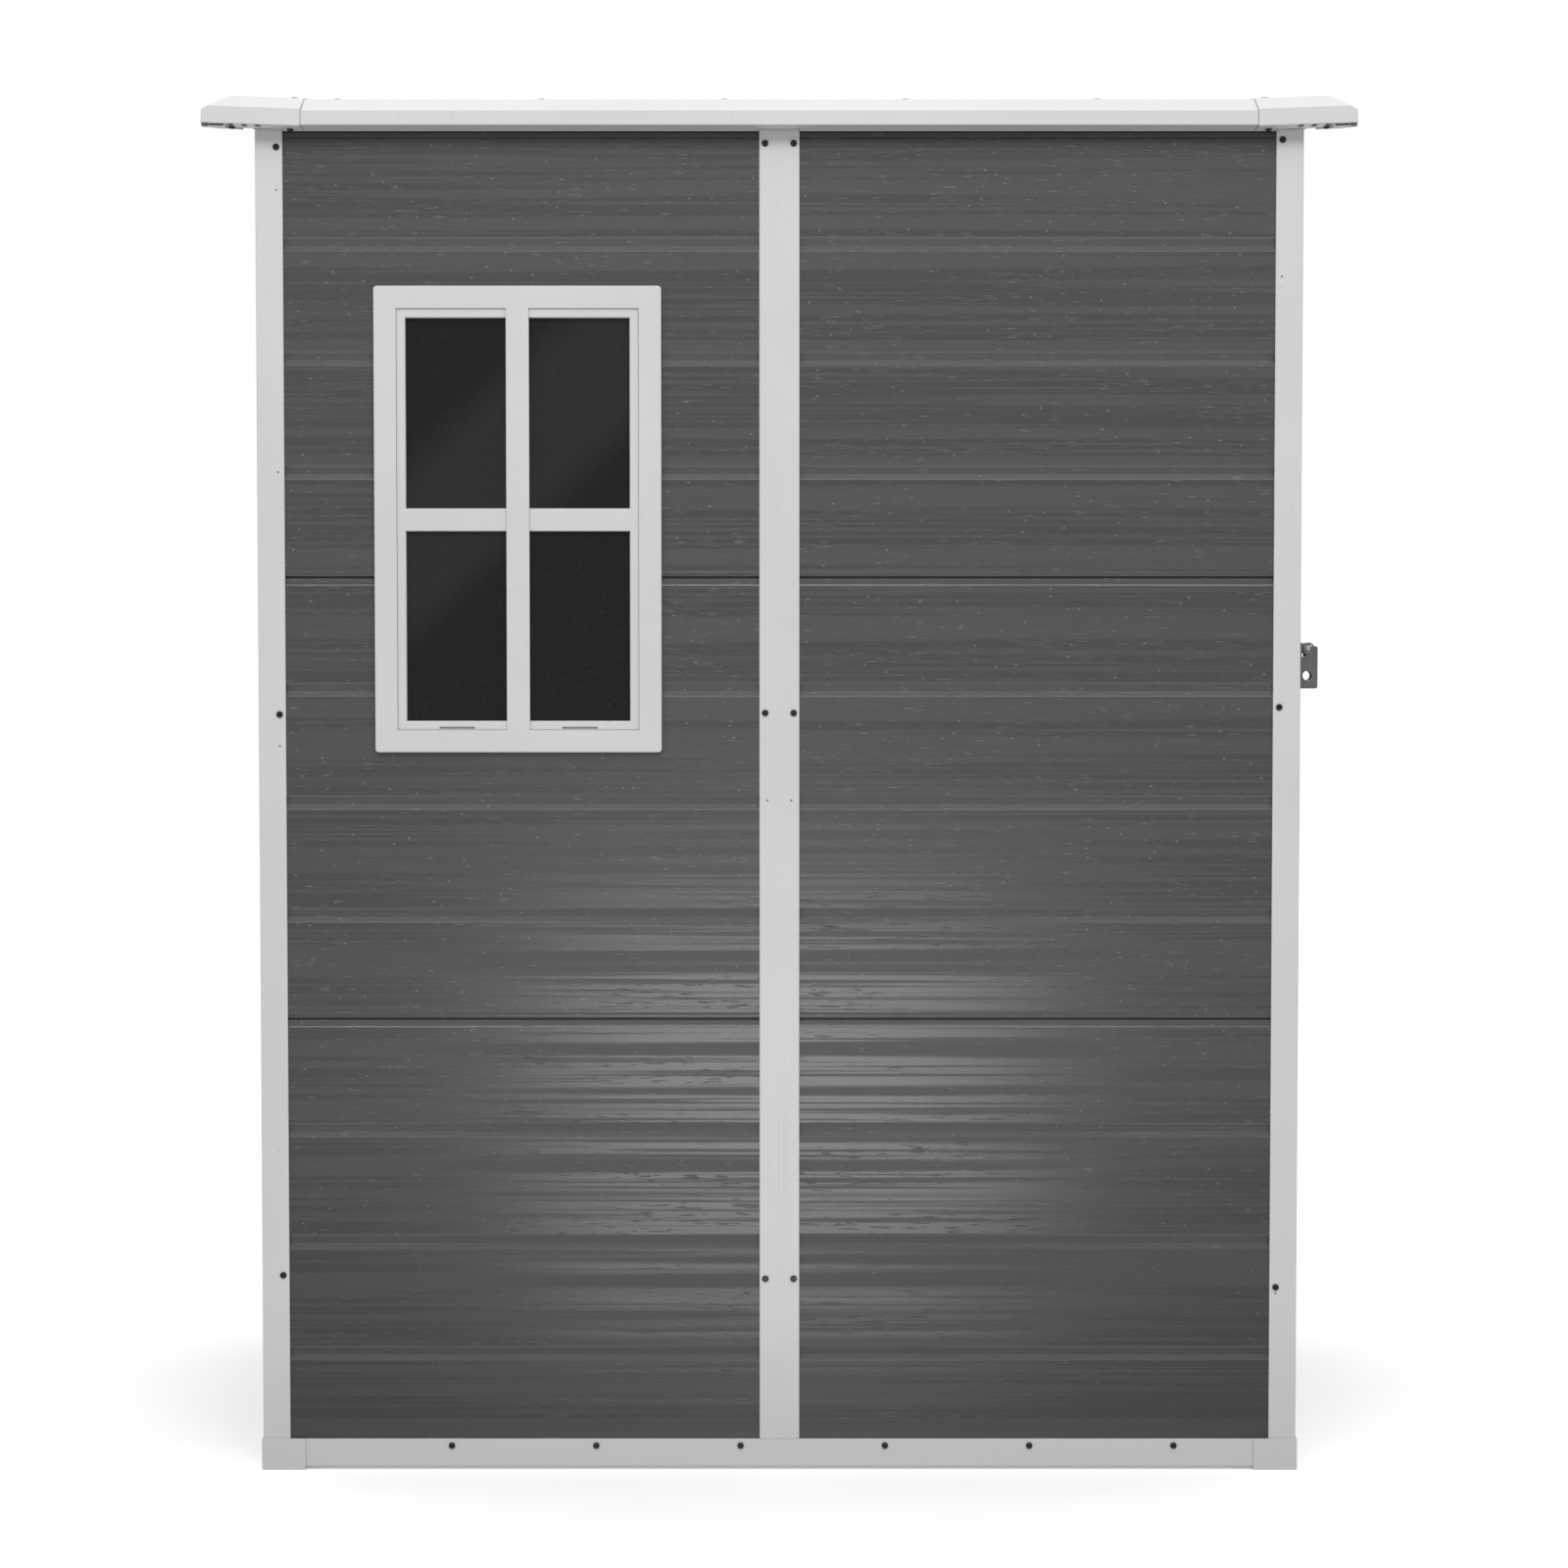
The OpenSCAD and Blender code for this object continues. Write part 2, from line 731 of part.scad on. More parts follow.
// The two sloping trims of one end, mitred at the ridge.
module barge_trims() {
    start = (roof_cap_leg - trim_d) / cos(pitch) + 4 * clear;
    color(white) for (plain = [false, true])
        at_corner(false, plain) difference() {
            barge_run(start, half_d + 20) trim_section(0, barge_drop, -chamfer_drop, 0);
            translate([0, -clear, 0]) cube([roof_half + trim_d, half_d, 3 * post_top]);
        }
}

// Tilts a corner cap up about its inner end.
module cap_tilted() {
    inner_x = roof_half - roof_cap_leg;
    translate([inner_x, 0, slab_z]) rotate([0, -cap_tilt, 0]) translate([-inner_x, 0, -slab_z]) children();
}

// Corner cap of the roof: a leg along the eave and a leg up the gable.
module roof_cap() {
    grow = cap_grow;
    face_top = -chamfer_drop + 2;
    inner_x = roof_half - roof_cap_leg;
    outer_x = roof_half + grow;
    leg_y = (roof_cap_leg - trim_d) / cos(pitch);
    slot = [8, 20.5, 8];
    slot_y = -half_d - trim_d - grow + trim_skin + 0.3;
    underside = slab_z - trim_drop - grow;
    plate_y = 3 - trim_d;
    color(white) cap_tilted() difference() {
        intersection() {
            union() {
                eave_run(inner_x, outer_x) trim_section(grow, trim_drop, face_top, pitch);
                barge_run(-trim_d - 4, leg_y) trim_section(grow, trim_drop, face_top, 0);
                // closes the leg's inner end
                eave_run(inner_x, inner_x + trim_skin) trim_outline(grow, trim_drop, face_top, pitch);
                // and the end of the gable leg, under the eave
                barge_run(plate_y, plate_y + trim_skin) trim_outline(grow, trim_drop, face_top, 0);
            }
            eave_run(inner_x, outer_x) trim_envelope(grow, face_top, pitch);
            barge_run(-2 * trim_d, 2 * leg_y) trim_envelope(grow, face_top, 0);
        }
        for (end_x = cap_slot_xs)
            translate([roof_half - end_x - slot[0], slot_y, underside - 4]) cube(slot);
        for (end_x = cap_screw_xs)
            translate([roof_half - end_x, -half_d - under_screw_y, underside - 4])
                cylinder(r = screw_hole_r, h = slot[2]);
        on_slope() translate([roof_half - cap_top_screw_x, top_screw_y, -small_l])
            cylinder(r = screw_hole_r, h = 2 * small_l);
    }
}

// Folded cap over the ridge, with an end plate that covers the trims' mitre.
module ridge_cap() {
    arm = 60;
    drop = arm * tan(pitch);
    top = roof_z(0);
    plate_t = 2.5;
    plate_gap = 0.15;
    fold_t = 2.4;
    fold_gap = 0.4;
    reach = roof_half + plate_gap + plate_t;
    module chevron(low, high) {
        polygon([
            [-arm, top - drop + low], [0, top + low], [arm, top - drop + low],
            [arm, top - drop + high], [0, top + high], [-arm, top - drop + high]]);
    }
    color(white) {
        translate([-reach, 0, 0]) rotate([90, 0, 90])
            linear_extrude(2 * reach) chevron(trim_rise + fold_gap, trim_rise + fold_gap + fold_t);
        for (x = [-reach, reach - plate_t])
            translate([x, 0, 0]) rotate([90, 0, 90])
                linear_extrude(plate_t) chevron(-barge_drop - 1, trim_rise + fold_gap + fold_t);
    }
}

// Square tube under the ridge, between the gable panels.
module ridge_beam() {
    side = 30;
    wall = 1.6;
    reach = half_l - panel_back - clear;
    high = roof_z(side / 2) - slab_drop - 0.4;
    color(steel) translate([-reach, -side / 2, high - side]) difference() {
        cube([2 * reach, side, side]);
        translate([-1, wall, wall]) cube([2 * reach + 2, side - 2 * wall, side - 2 * wall]);
    }
}

// Screws up into the corner caps from below.
module cap_under_screws() {
    for (rear = [false, true], plain = [false, true], end_x = cap_screw_xs)
        at_corner(rear, plain) cap_tilted()
            translate([roof_half - end_x, -half_d - under_screw_y, slab_z - trim_drop - cap_grow])
                mirror([0, 0, 1]) pan_screw(screw_head_r, screw_head_h, small_l);
}

// Screws down through the caps and the eave trim into the roof panels.
module roof_screws() {
    color(white) {
        for (rear = [false, true], plain = [false, true])
            at_corner(rear, plain) cap_tilted() on_slope()
                translate([roof_half - cap_top_screw_x, top_screw_y, trim_rise + cap_grow + head_seat])
                    pan_screw(screw_head_r, top_head_h, small_l);
        for (plain = [false, true], x = eave_screw_xs)
            at_corner(false, plain) on_slope() translate([x, top_screw_y, trim_rise + head_seat])
                pan_screw(screw_head_r, top_head_h, small_l);
    }
}

// ---------- window ----------

// Places an outline of [x, z] about the window's middle, from one depth to another.
module window_slab(from, to) {
    translate([window_x, -half_d + to, window_z]) rotate([90, 0, 0]) linear_extrude(to - from) children();
}

module rounded(w, h, r) {
    union() {
        square([w - 2 * r, h], center = true);
        square([w, h - 2 * r], center = true);
        for (x = [-1, 1], y = [-1, 1])
            translate([x * (w / 2 - r), y * (h / 2 - r)]) circle(r);
    }
}

// Outer flange with its upright bar, and the sleeve that lines the hole in the wall.
module window_frame() {
    inner_w = window_w - 2 * flange_w;
    inner_h = window_h - 2 * flange_w;
    sleeve_w = window_w - 2 * hole_margin - 2 * clear;
    sleeve_h = window_h - 2 * hole_margin - 2 * clear;
    color(white) {
        difference() {
            hull() {
                window_slab(-window_proud, -window_proud + 0.1)
                    rounded(window_w - 2 * window_bevel, window_h - 2 * window_bevel, 5 - window_bevel);
                window_slab(-window_proud + window_bevel, panel_face - 0.1) rounded(window_w, window_h, 5);
            }
            window_slab(-window_proud - 1, panel_face) square([inner_w, inner_h], center = true);
        }
        window_slab(-window_proud, -sash_proud - clear / 2)
            square([bar_w, inner_h + 0.2], center = true);
        window_slab(panel_face - 0.2, panel_back) difference() {
            square([sleeve_w, sleeve_h], center = true);
            square([inner_w, inner_h], center = true);
        }
    }
}

module pane_grid(w, h) {
    for (x = [-1, 1], z = [-1, 1])
        translate([x * (pane_w + bar_w) / 2, z * (pane_h + bar_w) / 2]) square([w, h], center = true);
}

// What is cut away to bevel the front edge of one pane's hole.
module pane_bevel() {
    hull() {
        window_slab(-sash_proud - 0.1, -sash_proud)
            square([pane_w + 2 * window_bevel, pane_h + 2 * window_bevel], center = true);
        window_slab(-sash_proud, -sash_proud + window_bevel) square([pane_w, pane_h], center = true);
    }
}

// Ring and glazing bars, rebated from behind for the panes.
module window_sash() {
    w = window_w - 2 * flange_w - 2 * clear;
    h = window_h - 2 * flange_w - 2 * clear;
    drain_z = -window_h / 2 + border_w - 11;
    color(white) difference() {
        window_slab(-sash_proud, 15) square([w, h], center = true);
        window_slab(-sash_proud - 1, 16) pane_grid(pane_w, pane_h);
        for (x = [-1, 1], z = [-1, 1])
            translate([x * (pane_w + bar_w) / 2, 0, z * (pane_h + bar_w) / 2]) pane_bevel();
        window_slab(pane_u, 16) pane_grid(pane_w + 2 * pane_lap, pane_h + 2 * pane_lap);
        for (x = [-1, 1])
            window_slab(-sash_proud - 1, -sash_proud + 3)
                translate([x * (pane_w + bar_w) / 2 - drain_w / 2, drain_z]) square([drain_w, drain_h]);
    }
}

module window_panes() {
    color([0.12, 0.12, 0.13, 0.8]) window_slab(pane_u + 0.1, pane_u + 0.1 + pane_t)
        pane_grid(pane_w + 2 * pane_lap - 0.6, pane_h + 2 * pane_lap - 0.6);
}

// Trim ring on the inside of the wall.
module window_inner_trim() {
    color(white) window_slab(panel_back + 0.1, panel_back + 4) difference() {
        rounded(window_w, window_h, 5);
        square([window_w - 2 * flange_w, window_h - 2 * flange_w], center = true);
    }
}

// ---------- door ----------

// Section of a stile or rail: x from the outer edge inward, y from the face inward.
module leaf_section() {
    difference() {
        square([stile_w, door_t]);
        translate([stile_w - door_channel, skin]) square([door_channel + 1, door_panel_back + fit - skin]);
        translate([skin, skin]) square([stile_w - door_channel - 2 * skin, door_t - 2 * skin]);
    }
}

module latch_stile() {
    translate([-door_half, -half_d, door_z]) linear_extrude(door_lid - door_z) leaf_section();
}

module door_hinge_stile() {
    color(white) difference() {
        on_door_end() mirror([1, 0, 0]) latch_stile();
        hardware_holes();
    }
}

module door_latch_stile() {
    color(white) difference() {
        on_door_end() latch_stile();
        hardware_holes();
    }
}

module door_rails() {
    reach = door_half - stile_w - clear / 2;
    color(white) on_door_end() {
        along_side(-reach, reach) translate([0, door_z]) mirror([1, -1]) leaf_section();
        along_side(-reach, reach) translate([0, door_lid]) rotate(-90) leaf_section();
    }
}

module door_panels() {
    reach = door_half - stile_w + door_channel - 0.7;
    base = door_z + stile_w - door_channel + 0.7;
    for (course = [0 : 2]) {
        low = base + course * door_panel_h;
        color(grey) on_door_end() along_side(-reach, reach)
            panel_outline(low, low + door_panel_h, planks, door_panel_back);
    }
}

// ---------- hinges ----------

// Barrel heights of a hinge: two knuckles on the frame leaf, one on the door leaf.
function frame_knuckles() = [[-hinge_h / 2, -hinge_h / 6 - 0.2], [hinge_h / 6 + 0.2, hinge_h / 2]];
function door_knuckles() = [[-hinge_h / 6 + 0.2, hinge_h / 6 - 0.2]];

// One hinge leaf about the pin's axis, its plate towards +Y.
module hinge_leaf(knuckles, width, bore_r) {
    difference() {
        union() {
            translate([-hinge_out, leaf_gap, -hinge_h / 2]) cube([leaf_t, width, hinge_h]);
            for (k = knuckles) {
                translate([-hinge_out, 0, k[0]]) cube([leaf_t, leaf_gap + 1, k[1] - k[0]]);
                translate([0, 0, k[0]]) cylinder(r = knuckle_r, h = k[1] - k[0]);
            }
        }
        translate([0, 0, -hinge_h]) cylinder(r = bore_r, h = 2 * hinge_h);
    }
}

module at_hinges() {
    for (z = hinge_zs)
        translate([hinge_x, hinge_y, z]) children();
}

module hinge_frame_leaves() {
    color(steel) difference() {
        at_hinges() hinge_leaf(frame_knuckles(), 22, pin_r);
        hardware_holes();
    }
}

module hinge_door_leaves() {
    color(steel) difference() {
        at_hinges() mirror([0, 1, 0]) hinge_leaf(door_knuckles(), 30, pin_r + running);
        hardware_holes();
    }
}

module hinge_pins() {
    color(steel) at_hinges() {
        translate([0, 0, -hinge_h / 2]) cylinder(r = pin_r, h = hinge_h);
        for (s = [-1, 1])
            translate([0, 0, s * (hinge_h / 2 + 0.9)]) cylinder(r = pin_r + 1, h = 1.8, center = true);
    }
}

// ---------- bolt ----------

// Padlock tab, upright across Y: a round head about the rod, a shoulder on its outer side,
// and a padlock eye below. inner is its reach from the rod's axis towards the shed.
module tab(inner, drop) {
    corner = 3;
    neck = 4;
    rotate([90, 0, 0]) translate([0, 0, -tab_t]) linear_extrude(tab_t) difference() {
        union() {
            circle(head_r);
            translate([-neck, -drop / 2]) square([neck + tab_out, drop / 2]);
            translate([-neck, 0]) square([neck + tab_out - corner, corner]);
            translate([tab_out - corner, 0]) circle(corner);
            translate([-inner, -drop]) square([inner + tab_out - corner, drop - tab_shoulder]);
            translate([-inner, -drop + corner]) square([inner + tab_out, drop - tab_shoulder - corner]);
            translate([tab_out - corner, -drop + corner]) circle(corner);
        }
        translate([-eye_in, -eye_drop]) circle(eye_r);
    }
}

// Keeper on the post: a plate folded at its inner edge into a tab that takes the rod and the padlock.
module bolt_keeper() {
    edge_y = -half_d + 2;
    color(steel) difference() {
        union() {
            translate([rod_x, keeper_y, bolt_z]) tab(rod_x - half_l, keeper_drop);
            translate([half_l, edge_y, bolt_z - keeper_drop])
                cube([leaf_t, keeper_y + tab_t - edge_y, keeper_drop + head_r]);
        }
        translate([rod_x - keeper_window / 2, keeper_y - 1, bolt_z - keeper_window / 2])
            cube([keeper_window, tab_t + 2, keeper_window]);
        hardware_holes();
    }
}

// Base plate on the door with two straps that guide the rod.
module bolt_guide() {
    start = -door_half + 2;
    strap_in = 5;                   // from the plate's ends to the straps
    bore = rod_r + running;
    outer = rod_r + strap_t;
    foot = 0.5;                     // depth by which the straps' stems sink into the plate
    color(steel) difference() {
        union() {
            translate([half_l, start, bolt_z - guide_low]) cube([leaf_t, guide_l, guide_low + guide_high]);
            for (y = [start + strap_in, start + guide_l - strap_w - strap_in]) {
                translate([rod_x, y, bolt_z]) rotate([-90, 0, 0]) cylinder(r = outer, h = strap_w);
                translate([half_l + leaf_t - foot, y, bolt_z - outer])
                    cube([rod_x - half_l - leaf_t + foot, strap_w, outer]);
            }
        }
        translate([rod_x, start - 1, bolt_z]) rotate([-90, 0, 0]) cylinder(r = bore, h = guide_l + 2);
        hardware_holes();
    }
}

// Sliding rod with a tapered tip.
module bolt_rod() {
    tip = 2;
    color(steel) translate([rod_x, rod_tip_y + tip, bolt_z]) {
        rotate([-90, 0, 0]) cylinder(r = rod_r, h = rod_l - tip);
        rotate([90, 0, 0]) cylinder(r1 = rod_r, r2 = rod_r - 1.5, h = tip);
    }
}

// Padlock flag pressed onto the rod, which also serves as its handle.
module bolt_flag() {
    color(steel) difference() {
        translate([rod_x, flag_y, bolt_z]) tab(rod_x - half_l - leaf_t - 0.5, flag_drop);
        translate([rod_x, flag_y - 1, bolt_z]) rotate([-90, 0, 0]) cylinder(r = rod_r + 0.02, h = tab_t + 2);
    }
}

// ---------- small fasteners of the hinges and the bolt ----------

// Points [y, z] on the end face where a small screw goes in.
function hardware_points() = concat(
    [for (z = hinge_zs, dz = [-26, 26], dy = [leaf_gap + 12, -leaf_gap - 20]) [hinge_y + dy, z + dz]],
    [for (y = [-door_half + 26, -door_half + 44], dz = [-38, -16]) [y, bolt_z + dz]],
    [for (dz = [0, -40]) [-half_d + 6.4, bolt_z + dz]]);

module hardware_holes() {
    for (p = hardware_points())
        translate([half_l - small_l - 1, p[0], p[1]]) rotate([0, 90, 0])
            cylinder(r = screw_hole_r, h = small_l + 6);
}

module hardware_screw(p) {
    translate([half_l + leaf_t, p[0], p[1]]) rotate([0, 90, 0])
        pan_screw(small_head_r, small_head_h, small_l);
}

module door_hardware_screws() {
    color(steel) for (p = hardware_points())
        if (abs(p[0]) < door_half) hardware_screw(p);
}

module frame_screws() {
    color(black) {
        wall_screws(side_screws());
        plain_side() wall_screws(side_screws());
        on_rear_end() wall_screws(rear_screws());
        cap_under_screws();
    }
    color(steel) for (p = hardware_points())
        if (abs(p[0]) > door_half) hardware_screw(p);
}

// ---------- assembly ----------

floor_panels();
side_base_rail();  // base_rail_window_side
plain_side() side_base_rail();  // base_rail_plain_side
rear_base_rail();  // base_rail_rear_end
door_sill();
at_corner(true, false) base_cap();  // base_cap_window_rear
at_corner(false, false) base_cap();  // base_cap_window_door
at_corner(true, true) base_cap();  // base_cap_plain_rear
at_corner(false, true) base_cap();  // base_cap_plain_door
corner_post_at(true, false);  // corner_post_window_rear
corner_post_at(false, false);  // corner_post_window_door
corner_post_at(true, true);  // corner_post_plain_rear
corner_post_at(false, true);  // corner_post_plain_door
centre_post();  // centre_post_window_side
plain_side() centre_post();  // centre_post_plain_side
window_bay_panel(0);  // window_bay_panel_lower
window_bay_panel(1);  // window_bay_panel_middle
window_bay_panel(2);  // window_bay_panel_upper
door_bay_panel(0);  // door_bay_panel_lower
door_bay_panel(1);  // door_bay_panel_middle
door_bay_panel(2);  // door_bay_panel_upper
plain_side_panels();
rear_end_panels();
side_top_rail();  // top_rail_window_side
plain_side() side_top_rail();  // top_rail_plain_side
mirror([1, 0, 0]) gable_rail();  // gable_rail_rear
gable_rail();  // gable_rail_door
door_header();
mirror([1, 0, 0]) gable_panel();  // gable_panel_rear
gable_panel();  // gable_panel_door
roof_panels();  // roof_panels_window_side
plain_side() roof_panels();  // roof_panels_plain_side
ridge_beam();
ridge_cap();
eave_trim();  // eave_trim_window_side
plain_side() eave_trim();  // eave_trim_plain_side
mirror([1, 0, 0]) barge_trims();  // barge_trims_rear
barge_trims();  // barge_trims_door
at_corner(true, false) roof_cap();  // roof_cap_window_rear
at_corner(false, false) roof_cap();  // roof_cap_window_door
at_corner(true, true) roof_cap();  // roof_cap_plain_rear
at_corner(false, true) roof_cap();  // roof_cap_plain_door
window_frame();
window_sash();
window_panes();
window_inner_trim();
frame_screws();
roof_screws();
hinge_frame_leaves();
hinge_pins();
bolt_keeper();
door_hinge_stile();
door_latch_stile();
door_rails();
door_panels();
hinge_door_leaves();
bolt_guide();
door_hardware_screws();  // hardware_screws
bolt_rod();
bolt_flag();
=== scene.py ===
"""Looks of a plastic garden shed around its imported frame: materials, camera and light."""

import math

import bpy
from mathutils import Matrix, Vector


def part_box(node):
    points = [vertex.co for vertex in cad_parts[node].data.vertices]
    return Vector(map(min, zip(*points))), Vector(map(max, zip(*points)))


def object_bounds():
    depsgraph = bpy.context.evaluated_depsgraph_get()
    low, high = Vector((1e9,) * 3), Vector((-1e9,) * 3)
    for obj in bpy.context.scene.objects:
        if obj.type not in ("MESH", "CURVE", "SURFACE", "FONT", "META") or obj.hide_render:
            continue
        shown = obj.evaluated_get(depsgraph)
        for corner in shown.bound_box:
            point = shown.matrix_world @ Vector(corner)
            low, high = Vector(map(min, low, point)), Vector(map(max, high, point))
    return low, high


MM = 0.001
PLANKS = 4              # planks moulded into one wall panel
PLANK_SHARE = 1.022     # height of a plank against an even share of the panel
GROOVE_INNER = 8.5 * MM     # from a groove's centre line, still wholly groove
GROOVE_OUTER = 10.5 * MM    # and from here on wholly plank
WHITE_LEVEL = 0.64      # linear tone of the white plastic
PANEL_LEVEL = 0.059     # and of the dark wall and door panels
PANEL_GLOSS = 0.27      # roughness of their glossy bands
PANEL_MATT = 0.55       # and of the matt between
NODE_SAMPLES = 4        # rays of each corner and edge lookup

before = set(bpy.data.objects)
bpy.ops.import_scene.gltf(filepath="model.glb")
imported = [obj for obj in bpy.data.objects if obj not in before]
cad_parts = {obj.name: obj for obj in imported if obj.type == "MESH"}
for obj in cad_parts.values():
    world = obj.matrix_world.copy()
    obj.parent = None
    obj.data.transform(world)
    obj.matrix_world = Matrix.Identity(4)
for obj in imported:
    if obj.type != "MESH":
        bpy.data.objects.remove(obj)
cad_low, cad_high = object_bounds()


# ---------- material building ----------


class Graph:
    """A material and short calls to grow its node tree. Texture space is the object's own, in metres."""

    def __init__(self, name):
        self.material = bpy.data.materials.new(name)
        self.material.use_nodes = True
        self.tree = self.material.node_tree
        self.tree.nodes.clear()
        self.shader = self.tree.nodes.new("ShaderNodeBsdfPrincipled")
        output = self.tree.nodes.new("ShaderNodeOutputMaterial")
        self.tree.links.new(self.shader.outputs["BSDF"], output.inputs["Surface"])
        self.place = self.tree.nodes.new("ShaderNodeTexCoord").outputs["Object"]

    def add(self, kind, inputs=None, **settings):
        """A new node of that kind, its inputs fed by name."""
        node = self.tree.nodes.new(kind)
        for name, value in settings.items():
            setattr(node, name, value)
        for name, value in (inputs or {}).items():
            self.feed(node.inputs[name], value)
        return node

    def feed(self, socket, value):
        """Links a socket to another node's output, or sets its value."""
        if isinstance(value, bpy.types.NodeSocket):
            self.tree.links.new(value, socket)
        else:
            socket.default_value = value

    def stretched(self, per_metre):
        """Object coordinates times a scale along each axis."""
        return self.add("ShaderNodeMapping", {"Vector": self.place, "Scale": per_metre}).outputs["Vector"]

    def noise(self, per_metre, detail=2.0, roughness=0.5, distortion=0.0):
        """Noise from 0 to 1 whose features are about 1 / per_metre long on each axis."""
        inputs = {
            "Vector": self.stretched(per_metre), "Scale": 1.0, "Detail": detail,
            "Roughness": roughness, "Distortion": distortion,
        }
        return self.add("ShaderNodeTexNoise", inputs).outputs["Fac"]

    def cells(self, per_metre):
        """Distance to the nearest of a scatter of points, in cell widths."""
        inputs = {"Vector": self.stretched(per_metre), "Scale": 1.0}
        return self.add("ShaderNodeTexVoronoi", inputs).outputs["Distance"]

    def remap(self, value, low, high, to_low=0.0, to_high=1.0, smooth=True):
        """Value from low..high taken to to_low..to_high, eased at both ends if smooth."""
        inputs = {"Value": value, "From Min": low, "From Max": high, "To Min": to_low, "To Max": to_high}
        kind = "SMOOTHSTEP" if smooth else "LINEAR"
        return self.add("ShaderNodeMapRange", inputs, interpolation_type=kind).outputs["Result"]

    def math(self, operation, a, b):
        """One arithmetic step on two values."""
        node = self.add("ShaderNodeMath", operation=operation)
        self.feed(node.inputs[0], a)
        self.feed(node.inputs[1], b)
        return node.outputs["Value"]

    def mix(self, factor, a, b):
        """Colour a where factor is 0, colour b where it is 1."""
        node = self.add("ShaderNodeMix", data_type="RGBA")
        self.feed(node.inputs["Factor"], factor)
        self.feed(node.inputs["A"], a)
        self.feed(node.inputs["B"], b)
        return node.outputs["Result"]

    def bump(self, height, depth, under=None):
        """Bump of that depth in metres, over another bump."""
        inputs = {"Height": height, "Distance": depth, "Strength": 1.0}
        if under is not None:
            inputs["Normal"] = under
        return self.add("ShaderNodeBump", inputs).outputs["Normal"]

    def corners(self, distance):
        """0 deep in a corner or crevice, 1 out in the open."""
        node = self.add("ShaderNodeAmbientOcclusion", {"Distance": distance}, samples=NODE_SAMPLES)
        return node.outputs["AO"]

    def rounded(self, radius):
        """The surface normal, turned over sharp edges as if they were rounded to that radius."""
        return self.add("ShaderNodeBevel", {"Radius": radius}, samples=NODE_SAMPLES).outputs["Normal"]

    def edges(self, radius):
        """1 along sharp edges, 0 away from them."""
        turned = self.add("ShaderNodeVectorMath", operation="DOT_PRODUCT")
        self.feed(turned.inputs[0], self.rounded(radius))
        self.feed(turned.inputs[1], self.add("ShaderNodeNewGeometry").outputs["Normal"])
        return self.remap(turned.outputs["Value"], 0.8, 0.99, 1.0, 0.0)

    def facing_down(self):
        """1 on faces that lean well over towards the ground, 0 on upright ones."""
        normal = self.add("ShaderNodeNewGeometry").outputs["True Normal"]
        up = self.add("ShaderNodeSeparateXYZ", {"Vector": normal}).outputs["Z"]
        return self.remap(up, -0.6, -0.3, 1.0, 0.0)

    def height(self):
        """Height above the ground, in metres."""
        return self.add("ShaderNodeSeparateXYZ", {"Vector": self.place}).outputs["Z"]

    def set(self, **inputs):
        """Feeds the shader; an underscore in a name stands for a space."""
        for name, value in inputs.items():
            self.feed(self.shader.inputs[name.replace("_", " ")], value)
        return self.material


def grey(level, warm=0.0):
    """A neutral colour of that linear level, a little warm or cool."""
    return (level * (1 + warm), level, level * (1 - warm), 1)


def white_plastic(name, level, along):
    """Smooth white plastic: faint lines along one axis, painted shade in corners, painted highlights on
    edges, painted shade low down.
    """
    g = Graph(name)
    across = [260, 260, 260]
    across["XYZ".index(along)] = 1.5
    lines = g.noise(across, detail=2)
    mottle = g.noise([5, 5, 5], detail=4)
    tone = g.mix(g.remap(mottle, 0.35, 0.65), grey(level * 0.97, 0.006), grey(level, 0.003))
    # painted shade: darker in corners and crevices
    tone = g.mix(g.remap(g.corners(6 * MM), 0.3, 0.9), grey(level * 0.7, 0.015), tone)
    # painted highlight: lighter along sharp edges
    tone = g.mix(g.math("MULTIPLY", g.edges(1.2 * MM), 0.4), tone, grey(level * 1.2))
    scuffs = g.remap(g.noise([70, 70, 70], detail=3), 0.68, 0.78)
    tone = g.mix(g.math("MULTIPLY", scuffs, 0.35), tone, grey(level * 0.8, 0.01))
    # painted shade: darker towards the ground
    painted_low_shade = g.math("ADD", g.height(), g.math("MULTIPLY", mottle, 0.06))
    colour = g.mix(g.remap(painted_low_shade, 0.02, 0.28), grey(level * 0.85, 0.015), tone)
    surface = g.bump(g.noise([900, 900, 900], detail=2), 0.01 * MM, g.rounded(1.2 * MM))
    return g.set(
        Base_Color=colour,
        Roughness=g.remap(lines, 0.3, 0.7, 0.38, 0.5),
        Normal=g.bump(lines, 0.02 * MM, surface),
    )


def off_grooves(g, low, height):
    """0 in the plank grooves of stacked panels of that height, 1 on the planks."""
    pitch = height * PLANK_SHARE / PLANKS
    below_top = g.math("FLOORED_MODULO", g.math("SUBTRACT", low, g.height()), height)
    from_groove = g.math("PINGPONG", below_top, pitch / 2)
    return g.remap(from_groove, GROOVE_INNER, GROOVE_OUTER)


